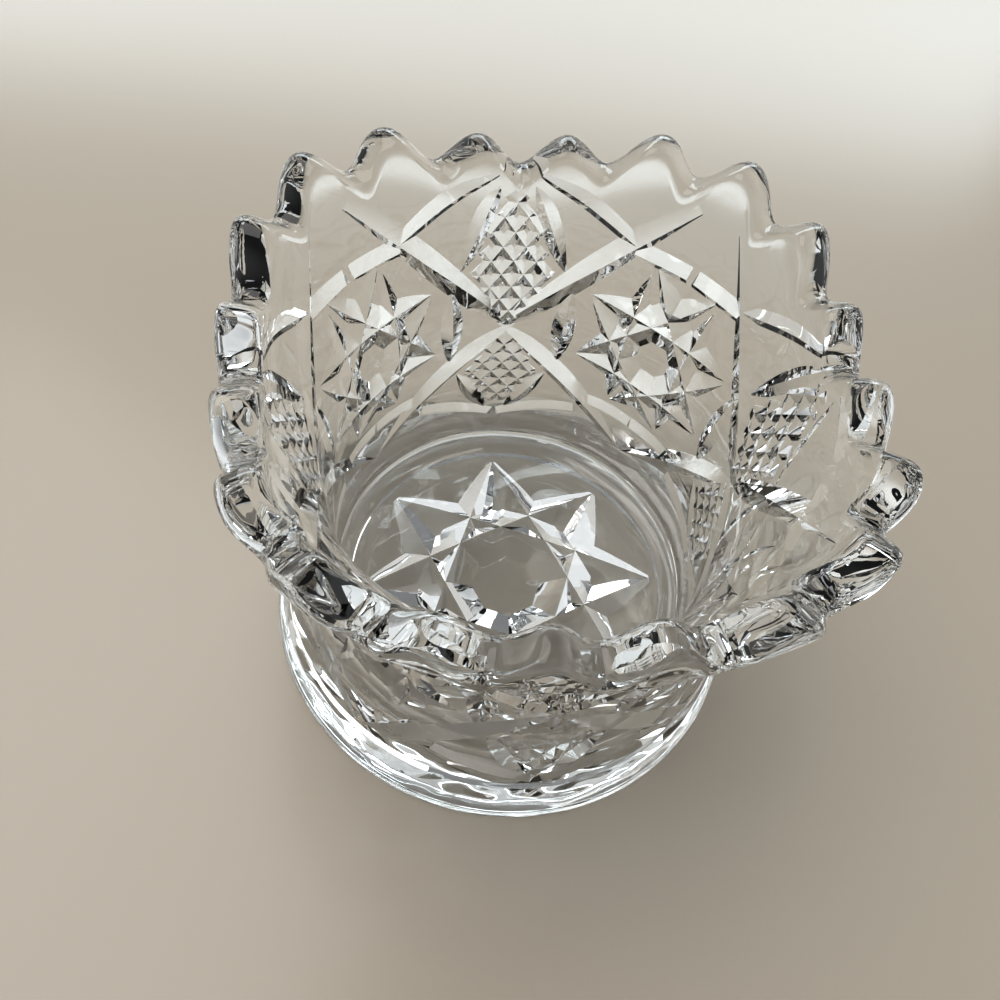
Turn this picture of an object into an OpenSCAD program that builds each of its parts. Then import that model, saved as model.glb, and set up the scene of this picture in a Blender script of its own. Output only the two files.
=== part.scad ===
// Pressed-glass toothpick holder with a cut-glass pattern, made in one piece.
// The cup stands on z = 0 and its axis is Z. Panel centres lie on X and Y,
// and the four star fields lie between them, on the diagonals.

/* [Body] */
// Height of the tooth tips above the table, before the rim's own rise and dip
height = 49; // [44:0.5:58]
// Outer radius at the waist
waist_r = 25.2; // [23:0.1:29]
// Height of the waist
waist_z = 22; // [18:0.5:25]
// Radius of the curve that flares the wall out to the rim
flare_r = 43; // [39:1:60]
// Radius of the curve that swells the wall out to the foot
belly_r = 72; // [60:1:150]
// Wall thickness at the waist
wall = 4; // [3.2:0.1:5.5]
// Thickness of the floor
floor_t = 6.2; // [5:0.1:9]
// Rounding where the floor meets the inside wall
floor_round = 2.5; // [1.5:0.5:8]
// Draft of the inside wall below the waist, in degrees
draft = 1.5; // [1:0.5:5]

/* [Rim] */
// Half width across the flat sides of the rim
rim_flat = 30.4; // [29:0.1:32]
// Half width across the rounded corners of the rim
rim_corner = 33.6; // [33:0.1:35]
// Radius of the slight bow of the rim's four sides
side_bow = 100; // [60:5:200]
// Thickness of the glass at the rim
rim_wall = 4.2; // [3:0.1:5.5]
// Teeth on each of the four sides
teeth_per_side = 5; // [3:2:7]
// Depth of the notches between the teeth
tooth_h = 3.4; // [2:0.1:4.5]
// Radius of the rounded tooth tips
tip_r = 2.8; // [1.6:0.1:3.2]
// How far the rim rises at the corners and dips at the flats
rim_swell = 1.1; // [0:0.1:1.5]

/* [Mitre cuts] */
// Height where the long mitres of a panel cross
cross_z = 24.9; // [22:0.1:28]
// Height of the upper mitre tips
mitre_top = 42.2; // [40:0.1:45]
// Angle of the upper mitre tips from the panel's centre, in degrees
mitre_top_angle = 40.4; // [38:0.2:44]
// Height of the lower mitre tips
mitre_low = 8.4; // [6:0.2:11]
// Angle of the lower mitre tips from the panel's centre, in degrees
mitre_low_angle = 45; // [40:0.5:46]
// Depth of the upper mitres
mitre_top_d = 1.1; // [0.8:0.05:1.6]
// Depth of the lower mitres
mitre_low_d = 1.7; // [0.8:0.05:2]
// Width of the mitres
mitre_w = 3.2; // [2:0.1:4]

/* [Frame cuts] */
// Angle of a roof cut's middle from the panel's centre, in degrees
roof_angle = 17.2; // [13:0.2:19]
// Height of a roof cut's middle
roof_z = 40.4; // [38:0.1:42]
// Fall of a roof cut, in degrees
roof_climb = 26; // [15:1:35]
// Half length of a roof cut
roof_len = 7.6; // [5:0.2:9]
// Angle of a crescent's middle from the panel's centre, in degrees
crescent_angle = 13.5; // [10:0.5:16]
// Height of a crescent's middle
crescent_z = 10.4; // [8:0.2:13]
// Rise of a crescent, in degrees
crescent_climb = 17; // [8:1:28]
// Half length of a crescent
crescent_len = 6.2; // [5:0.2:8]
// Height of the bar over a star
bar_top = 37.3; // [36:0.1:40]
// Height of the bar under a star
bar_low = 14.9; // [12:0.1:17]
// Angle of the upright bars beside the stars from the panel's centre, in degrees
bar_angle = 16.8; // [14:0.2:20]
// Height of the upright bars' middle
bar_mid = 25.6; // [23:0.2:28]
// Half length of the bars over and under a star
bar_len = 7; // [4:0.2:8]
// Half length of the upright bars
upright_len = 6; // [4:0.2:7]
// Depth of the roof cuts, crescents and bars
frame_d = 1.1; // [0.6:0.1:1.6]
// Half of the opening angle of these cuts, in degrees
frame_spread = 55; // [45:1:62]

/* [Point fields] */
// Angle of the fields' wide corners from the panel's centre, in degrees
field_angle = 11.5; // [9:0.5:13]
// Height of the upper field's peak
field_peak = 43.2; // [41:0.2:44]
// Height of the upper field's wide corners
field_high = 32.2; // [30:0.2:35]
// Height of the lower field's wide corners
field_low = 17.6; // [15:0.2:20]
// Height of the lower field's foot
field_foot = 9.2; // [8:0.2:12]
// Angle from a field's outer sides to the cuts that border them, in degrees
border_angle = 2.7; // [1:0.1:4]
// Depth of the border cuts
border_d = 0.9; // [0.5:0.1:1.2]
// Distance between the grooves that leave the points
point_pitch = 2.05; // [1.6:0.05:3]
// Width of the points' flat tops
point_flat = 0.3; // [0.2:0.05:0.6]
// Depth of the grooves
point_d = 0.6; // [0.3:0.05:0.9]
// Climb of the grooves, to both hands, in degrees
point_climb = 50; // [42:1:58]

/* [Star fields] */
// Height of the star centres
star_z = 26.4; // [23:0.2:29]
// Distance of the star cuts from the star's centre
star_chord = 5.1; // [4.3:0.1:6]
// Half length of the star cuts
star_len = 9.7; // [8:0.1:11]
// Depth of the star cuts
star_d = 1.5; // [0.8:0.1:1.8]
// Radius left uncut for the button in the middle
button_r = 2.6; // [2:0.1:3.4]

/* [Underside] */
// Radius of the foot ring's outer edge
foot_r = 26.6; // [24:0.1:28]
// Rounding under the edge of the foot
heel_r = 2.6; // [2.2:0.1:4]
// Radius of the hollow inside the foot ring
hollow_r = 20.5; // [18:0.1:23]
// Depth of the hollow
hollow_d = 0.8; // [0.4:0.1:1.5]
// Distance of the base star's cuts from the centre
base_chord = 9.2; // [7:0.1:10]
// Half length of the base star's cuts
base_len = 16.5; // [13:0.25:17]
// Depth of the base star's cuts
base_d = 2.2; // [1:0.1:2.6]
// Radius left uncut for the base button
base_button_r = 6; // [4:0.1:7]

/* [Hidden] */
$fa = 2;
$fs = 0.4;
sides = 4;
star_points = 8;
side_angle = 360 / sides;
corner_angle = side_angle / 2;
tooth_count = sides * teeth_per_side;
tooth_angle = 360 / tooth_count;
// Overlap that keeps cutters clear of the faces that they open
over = 1;
// How far a V-edged cutter stands out of the surface that it cuts
cut_lift = 0.4;
// A cut whose wheel would be flatter than this is made straight
least_bend = 1 / 300;
// A cutter is longer than its cut by this factor, so that its ends stay clear
cut_past = 1.12;
// Total height of the blank that the rim is shaped from
blank_h = height + rim_swell + over;
// Half of the tooth pitch, half way between the rim's flats and corners
rim_mid = (rim_flat + rim_corner) / 2;
half_pitch = rim_mid * sin(tooth_angle / 2);
// The rim's cutters reach from inside the wall to outside the corners
rim_from = rim_flat - 2 * rim_wall;
rim_to = rim_corner + 3 * over;
// Two arcs that meet smoothly give the wave: the tip's and the notch's
arcs_sum = (pow(half_pitch, 2) + pow(tooth_h, 2)) / (2 * tooth_h);
// The notch bites this much past smooth, so the two arcs cross cleanly
notch_bite = 0.3;
notch_r = arcs_sum - tip_r + notch_bite;
// Height of the notch arc's centre above the tip arc's
arc_rise = arcs_sum - tooth_h;
// Height above the tip's centre where the two arcs meet
meet_rise = tip_r * arc_rise / arcs_sum;

// Inside of the cup: radius at the waist, and the curve out to the rim
well_waist_r = waist_r - wall;
well_rise = blank_h - waist_z;
well_flare = outer_r(blank_h) - rim_wall - well_waist_r;
well_flare_r = (pow(well_rise, 2) + pow(well_flare, 2)) / (2 * well_flare);
// Middle of the rounding between the floor and the drafted wall
well_round_x = well_waist_r - (waist_z - floor_t - floor_round) * tan(draft) - floor_round / cos(draft);

// Half width of the fields of points, along the wall
field_half = field_angle * PI / 180 * waist_r;
// The long mitres run past the crossing by this share of their length
cross_past = 0.06;
star_spread = atan2(star_chord - button_r, star_d);
base_spread = atan2(base_chord - base_button_r, base_d);

function above_waist(z) = z > waist_z;
function bow_r(z) = above_waist(z) ? flare_r : belly_r;
function outer_r(z) = waist_r + bow_r(z) - sqrt(pow(bow_r(z), 2) - pow(z - waist_z, 2));
function wall_lean(z) = asin((z - waist_z) / bow_r(z));
function degrees_round(arc, z) = arc / outer_r(z) * 180 / PI;
function rim_rise(angle) = -rim_swell * cos(sides * angle);
// Bend of the wall's surface along a line that climbs at an angle
function wall_bend(z, climb) = pow(cos(climb), 2) / outer_r(z) - pow(sin(climb), 2) / bow_r(z);

// A field of points is a kite. Each side of it is given as a slope, in width
// and height from the level of its wide corners, that comes to 1 on the side
function kite_sides(up, down) = [
    for (hand = [-1, 1])
        for (way = [1 / up, -1 / down])
            [hand / field_half, way]
];
// Where a line through a point leaves the kite, backwards and forwards
function kite_span(kite, point, way) = [
    max([for (side = kite) if (side * way < 0) (1 - side * point) / (side * way)]),
    min([for (side = kite) if (side * way > 0) (1 - side * point) / (side * way)])
];

// One V-edged cut, drawn at the origin: it runs along Y, opens towards +X,
// and is as deep and as long as asked on a surface of that bend
module wheel_cut(half_len, depth, spread, bend) {
    free_bend = 2 * depth / pow(half_len, 2) - bend;
    cutter_len = cut_past * half_len;
    reach = depth + cut_lift;
    flank = reach * tan(spread);
    if (abs(free_bend) < least_bend) {
        translate([-depth, 0, 0])
            rotate([90, 0, 0])
                linear_extrude(2 * cutter_len, center = true)
                    polygon([[0, 0], [reach, flank], [reach, -flank]]);
    } else {
        outward = free_bend > 0;
        wheel_r = 1 / abs(free_bend);
        back_x = outward ? wheel_r - reach : wheel_r + reach;
        sweep = 2 * asin(min(1, cutter_len / wheel_r));
        translate([outward ? wheel_r - depth : -wheel_r - depth, 0, 0])
            rotate([0, 0, (outward ? 180 : 0) - sweep / 2])
                rotate_extrude(angle = sweep)
                    polygon([[wheel_r, 0], [back_x, flank], [back_x, -flank]]);
    }
}

// Sets a cutter square on the wall, where it climbs at an angle
module on_wall(angle, z, climb) {
    rotate([0, 0, angle])
        translate([outer_r(z), 0, z])
            rotate([0, wall_lean(z), 0])
                rotate([climb, 0, 0])
                    children();
}

module wall_cut(angle, z, climb, half_len, depth, spread) {
    on_wall(angle, z, climb)
        wheel_cut(half_len, depth, spread, wall_bend(z, climb));
}

// A cut between two places on the wall, each an angle and a height
module wall_cut_between(from, to, depth, spread) {
    mid = (from + to) / 2;
    run = (to[0] - from[0]) * PI / 180 * outer_r(mid[1]);
    rise = to[1] - from[1];
    wall_cut(mid[0], mid[1], atan2(rise, run), norm([run, rise]) / 2, depth, spread);
}

// Outside of the cup: a waisted turning whose rim is squared off softly
module outer_form() {
    intersection() {
        rotate_extrude()
            difference() {
                square([outer_r(blank_h) + over, blank_h]);
                waist_curve(waist_r, flare_r, blank_h);
                mirror([0, 1, 0])
                    translate([0, -2 * waist_z])
                        waist_curve(waist_r, belly_r, waist_z + over);
                heel_curve();
            }
        squared_prism(rim_flat, rim_corner, blank_h);
    }
}

// Half of the round hollow that draws the outline in at the waist
module waist_curve(r, bow, h) {
    intersection() {
        translate([r + bow, waist_z])
            circle(bow);
        translate([0, waist_z])
            square([r + bow, h]);
    }
}

// Rounding under the edge of the foot
module heel_curve() {
    difference() {
        translate([foot_r, -over])
            square([heel_r + over, heel_r + over]);
        translate([foot_r, heel_r])
            circle(heel_r);
    }
}

// A round prism with four flattened, slightly bowed sides
module squared_prism(flat, corner, h) {
    intersection() {
        cylinder(h = h, r = corner);
        intersection_for (i = [0 : sides - 1])
            rotate([0, 0, i * side_angle])
                translate([flat - side_bow, 0, 0])
                    cylinder(h = h, r = side_bow);
    }
}

// The inside, pressed by a smooth plunger: drafted below the waist and
// flared above it
module well() {
    intersection() {
        rotate_extrude()
            union() {
                difference() {
                    translate([0, waist_z])
                        square([rim_corner, blank_h]);
                    waist_curve(well_waist_r, well_flare_r, 2 * blank_h);
                }
                polygon([
                    [0, floor_t],
                    [well_round_x, floor_t],
                    [well_round_x + floor_round * cos(draft), floor_t + floor_round * (1 - sin(draft))],
                    [well_waist_r, waist_z],
                    [0, waist_z]
                ]);
                translate([well_round_x, floor_t + floor_round])
                    circle(floor_round);
            }
        squared_prism(rim_flat - rim_wall, rim_corner - rim_wall, blank_h + over);
    }
}

// A cone that points at the cup's axis and is as thick as asked at the rim
module rim_cone(angle, z, climb, r) {
    rotate([0, 0, angle])
        translate([0, 0, z])
            rotate([0, 90 - atan2(climb, rim_mid), 0])
                translate([0, 0, rim_from])
                    cylinder(
                        h = rim_to - rim_from,
                        r1 = r * rim_from / rim_mid,
                        r2 = r * rim_to / rim_mid
                    );
}

// What is taken off above one tooth, down to the sides of its round tip
module tooth_cap(angle) {
    shoulder = height + rim_rise(angle) - tip_r + meet_rise;
    cap_w = rim_corner * tan(tooth_angle / 2) + over;
    difference() {
        rotate([0, 0, angle])
            translate([rim_from + over, -cap_w, shoulder])
                cube([rim_to - rim_from - 2 * over, 2 * cap_w, 2 * tooth_h]);
        rim_cone(angle, shoulder, -meet_rise, tip_r);
    }
}

// The wave along the rim: round tips with round notches between them
module rim_teeth_cut() {
    for (i = [0 : tooth_count - 1])
        tooth_cap((i + 0.5) * tooth_angle);
    for (i = [0 : tooth_count - 1])
        rim_cone(
            i * tooth_angle,
            height + rim_rise(i * tooth_angle) - tip_r + meet_rise,
            arc_rise - meet_rise,
            notch_r
        );
}

// The four long mitres of a panel run from its crossing to its corners
module long_mitres() {
    for (hand = [-1, 1]) {
        mitre([hand * mitre_top_angle, mitre_top], mitre_top_d);
        mitre([hand * mitre_low_angle, mitre_low], mitre_low_d);
    }
}

// One mitre, from just past the panel's crossing to its tip
module mitre(tip, depth) {
    crossing = [0, cross_z];
    spread = atan2(mitre_w / 2, depth);
    wall_cut_between(crossing - cross_past * (tip - crossing), tip, depth, spread);
}

// Two cuts fall from the rim's dip and meet the long mitres like a roof
module roof_cuts() {
    for (hand = [-1, 1])
        wall_cut(hand * roof_angle, roof_z, -hand * roof_climb, roof_len, frame_d, frame_spread);
}

// Two crescents rise from the bottom of the panel to the long mitres
module crescent_cuts() {
    for (hand = [-1, 1])
        wall_cut(
            hand * crescent_angle,
            crescent_z,
            hand * crescent_climb,
            crescent_len,
            frame_d,
            frame_spread
        );
}

// Short cuts close a star field: level ones over and under the star, and
// an upright one on each side of it
module bar_cuts() {
    wall_cut(corner_angle, bar_top, 0, bar_len, frame_d, frame_spread);
    wall_cut(corner_angle, bar_low, 0, bar_len, frame_d, frame_spread);
    for (hand = [-1, 1])
        wall_cut(hand * bar_angle, bar_mid, 90, upright_len, frame_d, frame_spread);
}

// Cuts that border the outer sides of a panel's two fields of points
module border_cuts() {
    for (hand = [-1, 1]) {
        border_cut(hand, field_peak, field_high);
        border_cut(hand, field_foot, field_low);
    }
}

module border_cut(hand, end_z, wide_z) {
    wall_cut_between(
        [hand * border_angle, end_z],
        [hand * (field_angle + border_angle), wide_z],
        border_d,
        frame_spread
    );
}

// Straight grooves that fill a field in one direction. They are V-shaped up to
// the wall and upright outside it, so that neighbours stay apart
module point_grooves(hand, top_z, wide_z, foot_z) {
    climb = hand * point_climb;
    along = [cos(climb), sin(climb)];
    across = [-along[1], along[0]];
    kite = kite_sides(top_z - wide_z, wide_z - foot_z);
    last = ceil((top_z - foot_z) / point_pitch);
    for (i = [-last : last]) {
        start = (i + 0.5) * point_pitch * across;
        span = kite_span(kite, start, along);
        middle = start + (span[0] + span[1]) / 2 * along;
        z = wide_z + middle[1];
        if (span[1] - span[0] > point_pitch)
            on_wall(degrees_round(middle[0], z), z, climb)
                point_groove(span[1] - span[0]);
    }
}

module point_groove(len) {
    half_w = (point_pitch - point_flat) / 2;
    translate([-point_d, 0, 0])
        rotate([90, 0, 0])
            linear_extrude(len, center = true)
                polygon([
                    [0, 0],
                    [point_d, half_w],
                    [point_d + cut_lift, half_w],
                    [point_d + cut_lift, -half_w],
                    [point_d, -half_w]
                ]);
}

// One of the wide cuts that cross to leave a star round a flat button
module star_cut(i) {
    climb = i * 360 / star_points;
    wall_cut(
        corner_angle - degrees_round(star_chord * sin(climb), star_z),
        star_z + star_chord * cos(climb),
        climb,
        star_len,
        star_d,
        star_spread
    );
}

// One cut of the same star, larger, under the floor
module base_star_cut(i) {
    rotate([0, 0, (i + 0.5) * 360 / star_points])
        translate([base_chord, 0, hollow_d])
            rotate([0, 90, 0])
                wheel_cut(base_len, base_d, base_spread, 0);
}

module foot_hollow() {
    translate([0, 0, -over])
        cylinder(h = hollow_d + over, r = hollow_r);
}

module round_the_sides() {
    for (i = [0 : sides - 1])
        rotate([0, 0, i * side_angle])
            children();
}

// The cup before it is cut
module plain_cup() {
    difference() {
        outer_form();
        well();
        foot_hollow();
    }
}

module toothed_cup() {
    difference() {
        plain_cup();
        rim_teeth_cut();
    }
}

// The stars on the wall and under the floor are cut in turn: two opposite
// cuts of every star at each step
module starred_cup(steps) {
    if (steps == 0)
        toothed_cup();
    else
        difference() {
            starred_cup(steps - 1);
            for (i = [steps - 1, steps - 1 + star_points / 2]) {
                round_the_sides()
                    star_cut(i);
                base_star_cut(i);
            }
        }
}

module framed_cup() {
    difference() {
        starred_cup(star_points / 2);
        round_the_sides() {
            roof_cuts();
            crescent_cuts();
            bar_cuts();
        }
    }
}

module bordered_cup() {
    difference() {
        framed_cup();
        round_the_sides()
            border_cuts();
    }
}

module mitred_cup() {
    difference() {
        bordered_cup();
        round_the_sides()
            long_mitres();
    }
}

// The fields of points are cut last, in one direction and then in the other
module pointed_cup(hands) {
    if (len(hands) == 0)
        mitred_cup();
    else
        difference() {
            pointed_cup([for (i = [1 : 1 : len(hands) - 1]) hands[i]]);
            round_the_sides() {
                point_grooves(hands[0], field_peak, field_high, cross_z);
                point_grooves(hands[0], cross_z, field_low, field_foot);
            }
        }
}

// The whole cup, in one piece of clear glass
module glass_cup() {
    color("aliceblue", 0.6)
        pointed_cup([1, -1]);
}

glass_cup();
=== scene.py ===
"""Looks of the toothpick holder: one cup of clear pressed glass with a cut-glass pattern."""

import math

import bmesh
import bpy
from mathutils import Matrix, Vector


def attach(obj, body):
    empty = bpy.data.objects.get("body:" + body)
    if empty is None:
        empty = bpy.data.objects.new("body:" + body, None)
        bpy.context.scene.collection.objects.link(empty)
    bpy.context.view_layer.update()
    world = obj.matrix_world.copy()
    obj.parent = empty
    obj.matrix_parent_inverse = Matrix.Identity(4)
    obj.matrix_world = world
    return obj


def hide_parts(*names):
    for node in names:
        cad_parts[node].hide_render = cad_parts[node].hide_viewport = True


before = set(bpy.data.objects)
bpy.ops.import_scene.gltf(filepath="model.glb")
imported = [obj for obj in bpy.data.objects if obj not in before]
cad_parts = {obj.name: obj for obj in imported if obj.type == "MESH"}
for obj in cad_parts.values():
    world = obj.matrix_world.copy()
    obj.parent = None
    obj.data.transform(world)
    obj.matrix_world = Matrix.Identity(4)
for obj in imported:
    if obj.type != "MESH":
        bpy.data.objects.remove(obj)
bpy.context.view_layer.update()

# Sizes in metres and angles in degrees. The body, foot and rim are as in the part's source.
MM = 0.001

# Body
HEIGHT = 49 * MM
WAIST_R = 25.2 * MM
WAIST_Z = 22 * MM
FLARE_R = 43 * MM
BELLY_R = 72 * MM
WALL = 4 * MM
FLOOR_T = 6.2 * MM
FLOOR_ROUND = 2.5 * MM
DRAFT = 1.5

# Foot
FOOT_R = 26.6 * MM
HEEL_R = 2.6 * MM
HEEL_TOP_Z = 0.77 * MM
WALL_FROM_Z = 1.2 * MM
HOLLOW_R = 20.5 * MM
HOLLOW_D = 0.8 * MM

# Rim
SIDES = 4
SIDE_ANGLE = 360 / SIDES
CORNER_ANGLE = SIDE_ANGLE / 2
RIM_FLAT = 30.4 * MM
RIM_CORNER = 33.6 * MM
SIDE_BOW = 100 * MM
RIM_WALL = 4.2 * MM
RIM_ROUND = 1.4 * MM
SHOULDER_Z = HEIGHT - RIM_ROUND
CREST_FULLNESS = 0.7
RIM_SWELL = 1.1 * MM
TEETH = 20
TOOTH_H = 3.4 * MM
TOOTH_SHARPNESS = 0.9
TEETH_FROM_Z = 38 * MM
SQUARING = 60

# Mitres and the cuts that frame a panel
CROSS_Z = 24.9 * MM
MITRE_TOP = (40.4, 42.2 * MM)
MITRE_LOW = (45, 8.4 * MM)
MITRE_TOP_D = 1.1 * MM
MITRE_LOW_D = 1.7 * MM
MITRE_W = 3.2 * MM
CROSS_PAST = 0.06
FRAME_D = 1 * MM
FRAME_UPPER = 54
FRAME_LOWER = 32
FRAME_FADE = 14 * MM
ROOF_ANGLE = 16.4
ROOF_Z = 40.3 * MM
ROOF_CLIMB = 26
ROOF_LEN = 6.9 * MM
CRESCENT_ANGLE = 13.5
CRESCENT_Z = 10.1 * MM
CRESCENT_CLIMB = 17
CRESCENT_LEN = 5.8 * MM
BAR_TOP_Z = 37 * MM
BAR_LOW_Z = 14.6 * MM
BAR_ANGLE = 8
BAR_LEN = 3.4 * MM
UPRIGHT_ANGLE = 16.8
UPRIGHT_Z = 25.6 * MM
UPRIGHT_LEN = 6 * MM
UPRIGHT_D = 1.1 * MM
UPRIGHT_SPREAD = 55

# Fields of points, with the cuts that border them
FIELD_ANGLE = 11.5
FIELD_PEAK_Z = 43.2 * MM
FIELD_HIGH_Z = 32.2 * MM
FIELD_LOW_Z = 17.6 * MM
FIELD_FOOT_Z = 9.2 * MM
BORDER_ANGLE = 2.7
BORDER_D = 0.9 * MM
BORDER_SPREAD = 55
POINT_PITCH = 2.05 * MM
POINT_FLAT = 0.3 * MM
POINT_D = 0.6 * MM
POINT_CLIMB = 50

# Stars, whose cuts run straight from each tip to the third one on
STAR_POINTS = 8
TIP_TURN = math.radians(1.5 * 360 / STAR_POINTS)
STAR_Z = 26.4 * MM
STAR_TIP_R = 10.9 * MM
STAR_D = 1.5 * MM
BUTTON_R = 2.1 * MM
BASE_TIP_R = 18.8 * MM
BASE_D = 2.5 * MM
BASE_FADE = 19 * MM
BASE_BUTTON_R = 4 * MM

# Cutters
CUTTER_STEPS = 12
CUT_LIFT = 0.4 * MM
CUT_PAST = 1.12
FLATTEST_BEND = 0.5

# Mesh fineness
STEPS_ROUND = 400
HEEL_STEPS = 6
WALL_STEP = 0.5 * MM
CREST_STEPS = 12
FLOOR_STEPS = 10
SLIVER = 0.001 * MM
SHARP_ANGLE = 25

# Glass, with its faint pressing waves
GLASS_TINT = (0.97, 0.985, 0.985)
GLASS_IOR = 1.5
WAVE_SCALE = 140
WAVE_DETAIL = 1
WAVE_STRENGTH = 0.4
WAVE_H = 0.4 * MM

# Stage and light
FLOOR_R = 1.5
FLOOR_SEGMENTS = 64
FLOOR_GAP = 0.05 * MM
FLOOR_COLOUR = (0.55, 0.48, 0.39)
FLOOR_ROUGHNESS = 0.2
WALLS_TO = 0.25
WALLS = (0.85, 0.87, 0.88)
CEILING_FROM = 0.7
CEILING = (0.2, 0.205, 0.21)
FAR_WINDOW = {
    "at": (0.12, 0.9, 0.46),
    "width": 1.2,
    "height": 0.22,
    "watts": 4.1,
    "colour": (0.85, 0.95, 1),
}
HIGH_WINDOW = {
    "at": (-0.35, 0.2, 0.9),
    "width": 0.9,
    "height": 0.7,
    "watts": 4.5,
    "colour": (1, 0.97, 0.93),
}

# Camera, at the photograph's viewing angle
CAMERA_AT = Vector((-18.2, -56.6, 113.1)) * MM
CAMERA_TURN = 15.14
CAMERA_DROP = 56.89
CAMERA_ROLL = 11.17
CAMERA_CLIP = 5 * MM
SENSOR = 36
LENS = 35.3


def side_r(angle, flat):
    """Distance from the axis to a bowed side of the rim, at an angle from that side's middle."""
    off = math.remainder(angle, math.radians(SIDE_ANGLE))
    behind = SIDE_BOW - flat
    return math.sqrt(SIDE_BOW**2 - (behind * math.sin(off)) ** 2) - behind * math.cos(off)


def squared(r, angle, flat, corner):
    """A round radius drawn in softly to the rim's flat sides and round corners."""
    limits = (r, side_r(angle, flat), corner)
    return sum(limit**-SQUARING for limit in limits) ** (-1 / SQUARING)


def bow_r(z):
    return FLARE_R if z > WAIST_Z else BELLY_R


def outer_r(z):
    return WAIST_R + bow_r(z) - math.sqrt(bow_r(z) ** 2 - (z - WAIST_Z) ** 2)


def well_r(z):
    """Inside radius above the floor's rounding."""
    waist = WAIST_R - WALL
    if z < WAIST_Z:
        return waist - (WAIST_Z - z) * math.tan(math.radians(DRAFT))
    rise = HEIGHT - WAIST_Z
    out = outer_r(HEIGHT) - RIM_WALL - waist
    bow = (rise**2 + out**2) / (2 * out)
    return waist + bow - math.sqrt(bow**2 - (z - WAIST_Z) ** 2)


def rim_top(angle):
    """Height of the rim's crest: round teeth, higher at the corners than at the flats."""
    swell = -RIM_SWELL * math.cos(SIDES * angle)
    wave = (1 - math.cos(TEETH * angle)) / 2
    return HEIGHT + swell - TOOTH_H * (1 - wave**TOOTH_SHARPNESS)


def smooth_step(low, high, x):
    t = min(1, max(0, (x - low) / (high - low)))
    return t * t * (3 - 2 * t)


def heights(low, high, step):
    count = round((high - low) / step)
    return [low + (high - low) * i / count for i in range(count + 1)]


def cup_outline():
    """Half section of the turned cup, from under the middle of the floor round to its top."""
    points = [(0, HOLLOW_D), (HOLLOW_R, HOLLOW_D), (HOLLOW_R, 0)]
    heel_turn = math.acos((HEEL_R - HEEL_TOP_Z) / HEEL_R)
    for i in range(HEEL_STEPS + 1):
        a = heel_turn * i / HEEL_STEPS
        points.append((FOOT_R + HEEL_R * math.sin(a), HEEL_R - HEEL_R * math.cos(a)))
    points += [(outer_r(z), z) for z in heights(WALL_FROM_Z, SHOULDER_Z, WALL_STEP)]
    inner, outer = well_r(SHOULDER_Z), outer_r(SHOULDER_Z)
    for i in range(1, CREST_STEPS):
        a = math.pi * i / CREST_STEPS
        side = math.copysign(abs(math.cos(a)) ** CREST_FULLNESS, math.cos(a))
        z = SHOULDER_Z + RIM_ROUND * math.sin(a) ** CREST_FULLNESS
        points.append((inner + (outer - inner) * (1 + side) / 2, z))
    round_top = FLOOR_T + FLOOR_ROUND
    points += [(well_r(z), z) for z in reversed(heights(round_top, SHOULDER_Z, 2 * WALL_STEP))]
    middle = well_r(round_top) - FLOOR_ROUND
    for i in range(1, FLOOR_STEPS + 1):
        a = math.pi / 2 * i / FLOOR_STEPS
        points.append((middle + FLOOR_ROUND * math.cos(a), round_top - FLOOR_ROUND * math.sin(a)))
    points.append((0, FLOOR_T))
    return points


def turned_cup():
    """The cup before it is cut: turned, then squared and toothed at the rim."""
    bm = bmesh.new()
    row = [bm.verts.new((r, 0, z)) for r, z in cup_outline()]
    edges = [bm.edges.new(pair) for pair in zip(row, row[1:])]
    bmesh.ops.spin(
        bm,
        geom=row + edges,
        cent=(0, 0, 0),
        axis=(0, 0, 1),
        angle=2 * math.pi,
        steps=STEPS_ROUND,
        use_merge=True,
    )
    bmesh.ops.remove_doubles(bm, verts=bm.verts, dist=SLIVER)
    for v in bm.verts:
        if v.co.z > WAIST_Z:
            angle = math.atan2(v.co.y, v.co.x)
            level = min(v.co.z, SHOULDER_Z)
            wall = outer_r(level) - well_r(level)
            across = (math.hypot(v.co.x, v.co.y) - well_r(level)) / wall
            sink = (rim_top(angle) - HEIGHT) * smooth_step(TEETH_FROM_Z, SHOULDER_Z, v.co.z)
            level += sink
            inner = squared(well_r(level), angle, RIM_FLAT - RIM_WALL, RIM_CORNER - RIM_WALL)
            outer = squared(outer_r(level), angle, RIM_FLAT, RIM_CORNER)
            r = inner + across * (outer - inner)
            v.co = (r * math.cos(angle), r * math.sin(angle), v.co.z + sink)
    bmesh.ops.recalc_face_normals(bm, faces=bm.faces)
    return mesh_object("cut_glass_cup", bm)


def mesh_object(name, bm):
    mesh = bpy.data.meshes.new(name)
    bm.to_mesh(mesh)
    bm.free()
    piece = bpy.data.objects.new(name, mesh)
    bpy.context.scene.collection.objects.link(piece)
    return piece


def turn(degrees, axis):
    return Matrix.Rotation(math.radians(degrees), 4, axis)


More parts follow.
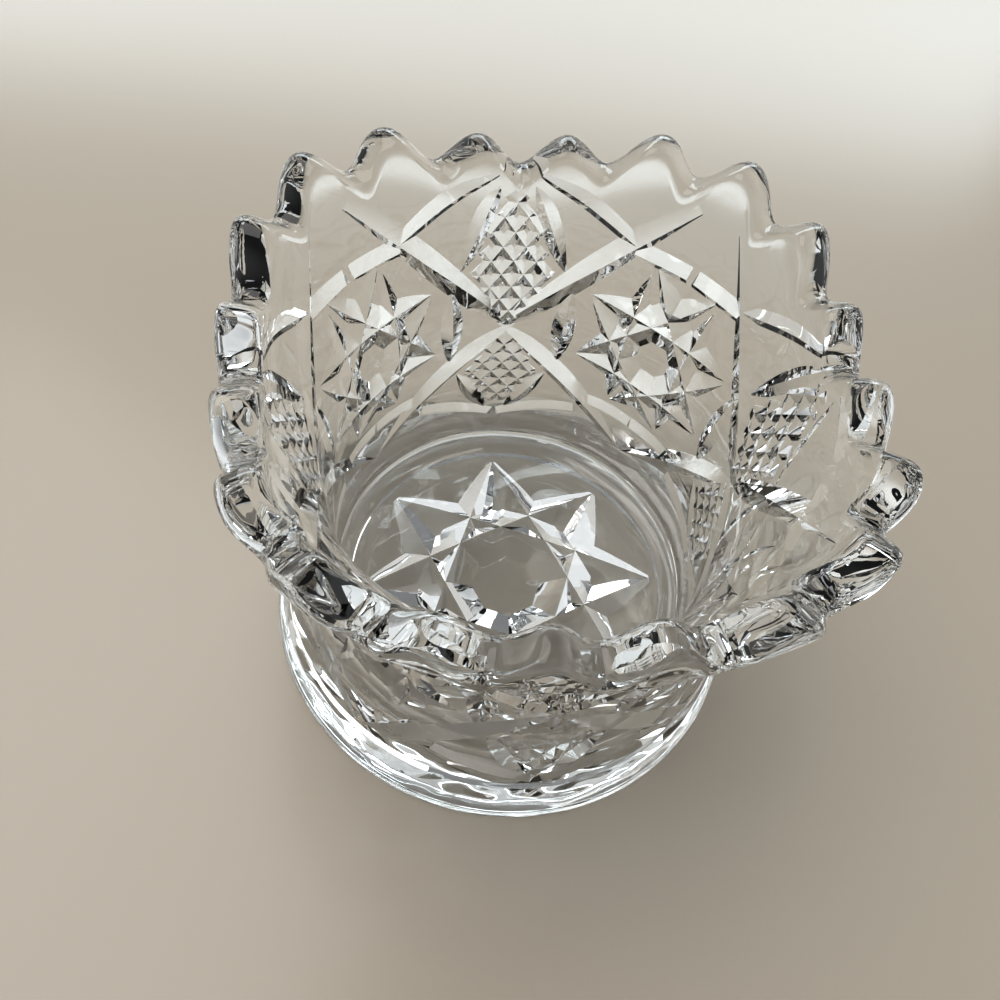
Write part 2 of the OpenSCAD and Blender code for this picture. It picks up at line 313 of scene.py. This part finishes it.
def add_cutter(bm, place, half_len, depth, flanks, bend, ends=(CUT_PAST, CUT_PAST)):
    """Adds one V-edged cutter. Before it is placed, it runs along Y and opens towards +X, with its
    two flanks at angles from X. On a surface of that bend it cuts a groove that fades out at both
    ends, or stops at a part of its half length."""
    free_bend = 2 * depth / half_len**2 - bend
    side = 1 if free_bend > 0 else -1
    wheel_r = 1 / max(abs(free_bend), FLATTEST_BEND)
    back, forth = (math.asin(min(1, end * half_len / wheel_r)) * side for end in ends)
    upper, lower = ((depth + CUT_LIFT) * math.tan(math.radians(flank)) for flank in flanks)
    first = len(bm.verts)
    edge = bm.verts.new((-depth, 0, 0))
    over = bm.verts.new((CUT_LIFT, 0, upper))
    under = bm.verts.new((CUT_LIFT, 0, -lower))
    section = [edge, over, under]
    face = bm.faces.new(section)
    centre = (side * wheel_r - depth, 0, 0)
    bmesh.ops.rotate(bm, verts=section, cent=centre, matrix=Matrix.Rotation(back, 3, "Z"))
    bmesh.ops.spin(
        bm,
        geom=[*section, *face.edges, face],
        cent=centre,
        axis=(0, 0, 1),
        angle=-back - forth,
        steps=CUTTER_STEPS,
    )
    bm.verts.ensure_lookup_table()
    bmesh.ops.transform(bm, matrix=place, verts=bm.verts[first:])


def on_wall(angle, z, climb):
    """Place of a cut on the outside of the wall, where it climbs at an angle."""
    lean = math.degrees(math.asin((z - WAIST_Z) / bow_r(z)))
    out = squared(outer_r(z), math.radians(angle), RIM_FLAT, RIM_CORNER)
    return turn(angle, "Z") @ Matrix.Translation((out, 0, z)) @ turn(lean, "Y") @ turn(climb, "X")


def wall_bend(z, climb):
    climb = math.radians(climb)
    return math.cos(climb) ** 2 / outer_r(z) - math.sin(climb) ** 2 / bow_r(z)


def wall_cut(bm, angle, z, climb, half_len, depth, flanks, ends=(CUT_PAST, CUT_PAST)):
    add_cutter(bm, on_wall(angle, z, climb), half_len, depth, flanks, wall_bend(z, climb), ends)


def wall_cut_between(bm, start, end, depth, spread):
    """A cut between two places on the wall, each an angle and a height."""
    angle = (start[0] + end[0]) / 2
    z = (start[1] + end[1]) / 2
    run = math.radians(end[0] - start[0]) * outer_r(z)
    rise = end[1] - start[1]
    climb = math.degrees(math.atan2(rise, run))
    wall_cut(bm, angle, z, climb, math.hypot(run, rise) / 2, depth, (spread, spread))


def side_angles():
    return [i * SIDE_ANGLE for i in range(SIDES)]


def cut(cup, draw):
    """Cuts the cup with what a function draws into a bmesh. Cutters of one call don't touch."""
    bm = bmesh.new()
    draw(bm)
    bmesh.ops.recalc_face_normals(bm, faces=bm.faces)
    cutters = mesh_object("cutters", bm)
    groove = cup.modifiers.new("groove", "BOOLEAN")
    groove.operation = "DIFFERENCE"
    groove.solver = "MANIFOLD"
    groove.object = cutters
    shaped = cup.evaluated_get(bpy.context.evaluated_depsgraph_get())
    plain_mesh = cup.data
    cup.data = bpy.data.meshes.new_from_object(shaped)
    cup.modifiers.clear()
    bpy.data.meshes.remove(plain_mesh)
    bpy.data.meshes.remove(cutters.data)


def cut_stars(cup):
    """Wide cuts that cross to leave a star round a flat button, on the wall and under the floor."""
    chord = STAR_TIP_R * math.cos(TIP_TURN)
    base_chord = BASE_TIP_R * math.cos(TIP_TURN)
    half_len = STAR_TIP_R * math.sin(TIP_TURN)
    base_stop = BASE_TIP_R * math.sin(TIP_TURN) / BASE_FADE
    spread = math.degrees(math.atan2(chord - BUTTON_R, STAR_D))
    base_spread = math.degrees(math.atan2(base_chord - BASE_BUTTON_R, BASE_D))
    for i in range(STAR_POINTS):
        climb = i * 360 / STAR_POINTS

        def one_of_each(bm):
            for side in side_angles():
                aside = math.degrees(chord * math.sin(math.radians(climb)) / outer_r(STAR_Z))
                z = STAR_Z + chord * math.cos(math.radians(climb))
                wall_cut(bm, side + CORNER_ANGLE - aside, z, climb, half_len, STAR_D, (spread, spread))
            under = Matrix.Translation((base_chord, 0, HOLLOW_D)) @ turn(90, "Y")
            place = turn(climb + 180 / STAR_POINTS, "Z") @ under
            flanks = (base_spread, base_spread)
            add_cutter(bm, place, BASE_FADE, BASE_D, flanks, 0, (base_stop, base_stop))

        cut(cup, one_of_each)


def add_band(bm, angle, z, climb, half_len):
    """Adds a cutter for a band with a wide upper flank, a steep lower one and blunt ends."""
    stop = half_len / FRAME_FADE
    flanks = (FRAME_UPPER, FRAME_LOWER)
    wall_cut(bm, angle, z, climb, FRAME_FADE, FRAME_D, flanks, (stop, stop))


def cut_frames(cup):
    """Roof cuts, crescents and borders of the panels, and the bars of the star fields."""
    ends_and_waists = ((FIELD_PEAK_Z, FIELD_HIGH_Z), (FIELD_FOOT_Z, FIELD_LOW_Z))
    for hand in (-1, 1):

        def bands(bm):
            for side in side_angles():
                angle = side + hand * ROOF_ANGLE
                add_band(bm, angle, ROOF_Z, -hand * ROOF_CLIMB, ROOF_LEN)
                angle = side + hand * CRESCENT_ANGLE
                add_band(bm, angle, CRESCENT_Z, hand * CRESCENT_CLIMB, CRESCENT_LEN)
                angle = side + CORNER_ANGLE + hand * BAR_ANGLE
                for z in (BAR_TOP_Z, BAR_LOW_Z):
                    add_band(bm, angle, z, 0, BAR_LEN)

        def borders(bm):
            for side in side_angles():
                for end_z, wide_z in ends_and_waists:
                    start = (side + hand * BORDER_ANGLE, end_z)
                    end = (side + hand * (FIELD_ANGLE + BORDER_ANGLE), wide_z)
                    wall_cut_between(bm, start, end, BORDER_D, BORDER_SPREAD)

        cut(cup, bands)
        cut(cup, borders)

    def uprights(bm):
        flanks = (UPRIGHT_SPREAD, UPRIGHT_SPREAD)
        for side in side_angles():
            for hand in (-1, 1):
                angle = side + hand * UPRIGHT_ANGLE
                wall_cut(bm, angle, UPRIGHT_Z, 90, UPRIGHT_LEN, UPRIGHT_D, flanks)

    cut(cup, uprights)


def cut_mitres(cup):
    """Long mitres from the crossing of each panel to its corners."""
    for hand in (-1, 1):
        for (tip_angle, tip_z), depth in ((MITRE_TOP, MITRE_TOP_D), (MITRE_LOW, MITRE_LOW_D)):
            spread = math.degrees(math.atan2(MITRE_W / 2, depth))
            start_z = CROSS_Z - CROSS_PAST * (tip_z - CROSS_Z)

            def mitres(bm):
                for side in side_angles():
                    start = (side - CROSS_PAST * hand * tip_angle, start_z)
                    wall_cut_between(bm, start, (side + hand * tip_angle, tip_z), depth, spread)

            cut(cup, mitres)


def kite_span(point, way, up, down):
    """Where a line through a point leaves a field, backwards and forwards. A field is a kite, and
    places on it are a width and a height from the middle of its wide corners."""
    half = math.radians(FIELD_ANGLE) * WAIST_R
    sides = [Vector((hand / half, slope)) for hand in (-1, 1) for slope in (1 / up, -1 / down)]
    back = max((1 - side.dot(point)) / side.dot(way) for side in sides if side.dot(way) < 0)
    forth = min((1 - side.dot(point)) / side.dot(way) for side in sides if side.dot(way) > 0)
    return back, forth


def add_point_grooves(bm, panel, hand, top_z, wide_z, foot_z):
    """Adds the straight grooves that fill a field of points in one direction."""
    climb = hand * POINT_CLIMB
    along = Vector((math.cos(math.radians(climb)), math.sin(math.radians(climb))))
    across = Vector((-along.y, along.x))
    last = math.ceil((top_z - foot_z) / POINT_PITCH)
    for i in range(-last, last + 1):
        start = (i + 0.5) * POINT_PITCH * across
        back, forth = kite_span(start, along, top_z - wide_z, wide_z - foot_z)
        if forth - back > POINT_PITCH:
            middle = start + (back + forth) / 2 * along
            z = wide_z + middle.y
            angle = panel + math.degrees(middle.x / outer_r(z))
            add_groove(bm, on_wall(angle, z, climb), (forth - back) / 2)


def add_groove(bm, place, half_len):
    """Adds one straight cutter that is V-shaped up to the wall and upright outside it."""
    half_w = (POINT_PITCH - POINT_FLAT) / 2
    outline = [(-POINT_D, 0), (0, half_w), (CUT_LIFT, half_w), (CUT_LIFT, -half_w), (0, -half_w)]
    ends = [bm.verts.new((x, -half_len, z)) for x, z in outline]
    face = bm.faces.new(ends)
    pushed = bmesh.ops.extrude_face_region(bm, geom=[face], use_keep_orig=True)["geom"]
    far = [v for v in pushed if isinstance(v, bmesh.types.BMVert)]
    bmesh.ops.translate(bm, verts=far, vec=(0, 2 * half_len, 0))
    bmesh.ops.transform(bm, matrix=place, verts=ends + far)


def cut_points(cup):
    """Grooves in two directions, which leave the fields of points."""
    for hand in (-1, 1):

        def grooves(bm):
            for panel in side_angles():
                add_point_grooves(bm, panel, hand, FIELD_PEAK_Z, FIELD_HIGH_Z, CROSS_Z)
                add_point_grooves(bm, panel, hand, CROSS_Z, FIELD_LOW_Z, FIELD_FOOT_Z)

        cut(cup, grooves)


def drop_slivers(cup):
    """Takes out the faces without area that the cuts leave along their edges."""
    bm = bmesh.new()
    bm.from_mesh(cup.data)
    bmesh.ops.remove_doubles(bm, verts=bm.verts, dist=SLIVER)
    bmesh.ops.dissolve_degenerate(bm, edges=bm.edges, dist=SLIVER)
    bm.to_mesh(cup.data)
    bm.free()


def clear_glass():
    """Clear fire-polished glass, with the faint waves that pressing leaves."""
    material = bpy.data.materials.new("clear_glass")
    material.use_nodes = True
    nodes = material.node_tree.nodes
    links = material.node_tree.links
    shader = nodes["Principled BSDF"]
    shader.inputs["Base Color"].default_value = (*GLASS_TINT, 1)
    shader.inputs["Roughness"].default_value = 0
    shader.inputs["IOR"].default_value = GLASS_IOR
    shader.inputs["Transmission Weight"].default_value = 1
    place = nodes.new("ShaderNodeTexCoord")
    waves = nodes.new("ShaderNodeTexNoise")
    waves.inputs["Scale"].default_value = WAVE_SCALE
    waves.inputs["Detail"].default_value = WAVE_DETAIL
    bump = nodes.new("ShaderNodeBump")
    bump.inputs["Strength"].default_value = WAVE_STRENGTH
    bump.inputs["Distance"].default_value = WAVE_H
    links.new(place.outputs["Object"], waves.inputs["Vector"])
    links.new(waves.outputs["Fac"], bump.inputs["Height"])
    links.new(bump.outputs["Normal"], shader.inputs["Normal"])
    return material


def pale_floor():
    """A plain pale floor, a hair below the foot so that light reaches under the glass."""
    bm = bmesh.new()
    bmesh.ops.create_circle(bm, cap_ends=True, segments=FLOOR_SEGMENTS, radius=FLOOR_R)
    bmesh.ops.translate(bm, verts=bm.verts, vec=(0, 0, -FLOOR_GAP))
    floor = mesh_object("floor", bm)
    material = bpy.data.materials.new("floor_paper")
    material.use_nodes = True
    shader = material.node_tree.nodes["Principled BSDF"]
    shader.inputs["Base Color"].default_value = (*FLOOR_COLOUR, 1)
    shader.inputs["Roughness"].default_value = FLOOR_ROUGHNESS
    floor.data.materials.append(material)


def soft_sky():
    """A room's worth of soft light: pale walls all round, and a dim ceiling."""
    world = bpy.data.worlds.new("studio")
    bpy.context.scene.world = world
    world.use_nodes = True
    nodes = world.node_tree.nodes
    links = world.node_tree.links
    place = nodes.new("ShaderNodeTexCoord")
    split = nodes.new("ShaderNodeSeparateXYZ")
    ramp = nodes.new("ShaderNodeValToRGB")
    ramp.color_ramp.interpolation = "EASE"
    ramp.color_ramp.elements[0].position = WALLS_TO
    ramp.color_ramp.elements[0].color = (*WALLS, 1)
    ramp.color_ramp.elements[1].position = CEILING_FROM
    ramp.color_ramp.elements[1].color = (*CEILING, 1)
    links.new(place.outputs["Generated"], split.inputs["Vector"])
    links.new(split.outputs["Z"], ramp.inputs["Fac"])
    links.new(ramp.outputs["Color"], nodes["Background"].inputs["Color"])


def window(name, at, width, height, watts, colour):
    """A soft window lamp that faces the cup."""
    light = bpy.data.lights.new(name, "AREA")
    light.shape = "RECTANGLE"
    light.size = width
    light.size_y = height
    light.energy = watts
    light.color = colour
    lamp = bpy.data.objects.new(name, light)
    lamp.location = at
    aim = Vector((0, 0, HEIGHT / 2)) - lamp.location
    lamp.rotation_euler = aim.to_track_quat("-Z", "Y").to_euler()
    bpy.context.scene.collection.objects.link(lamp)


def camera_over_the_rim():
    eye = bpy.data.cameras.new("camera")
    eye.sensor_width = SENSOR
    eye.lens = LENS
    eye.clip_start = CAMERA_CLIP
    camera = bpy.data.objects.new("camera", eye)
    facing = turn(-CAMERA_TURN, "Z") @ turn(90 - CAMERA_DROP, "X") @ turn(CAMERA_ROLL, "Z")
    camera.matrix_world = Matrix.Translation(CAMERA_AT) @ facing
    bpy.context.scene.collection.objects.link(camera)
    bpy.context.scene.camera = camera


cup = turned_cup()
cut_stars(cup)
cut_frames(cup)
cut_mitres(cup)
cut_points(cup)
drop_slivers(cup)
cup.data.shade_smooth()
cup.data.set_sharp_from_angle(angle=math.radians(SHARP_ANGLE))
cup.data.materials.clear()
cup.data.materials.append(clear_glass())
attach(cup, "root")
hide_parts("glass_cup")

pale_floor()
soft_sky()
window("far_window", **FAR_WINDOW)
window("high_window", **HIGH_WINDOW)
camera_over_the_rim()
bpy.context.scene.view_settings.view_transform = "Standard"
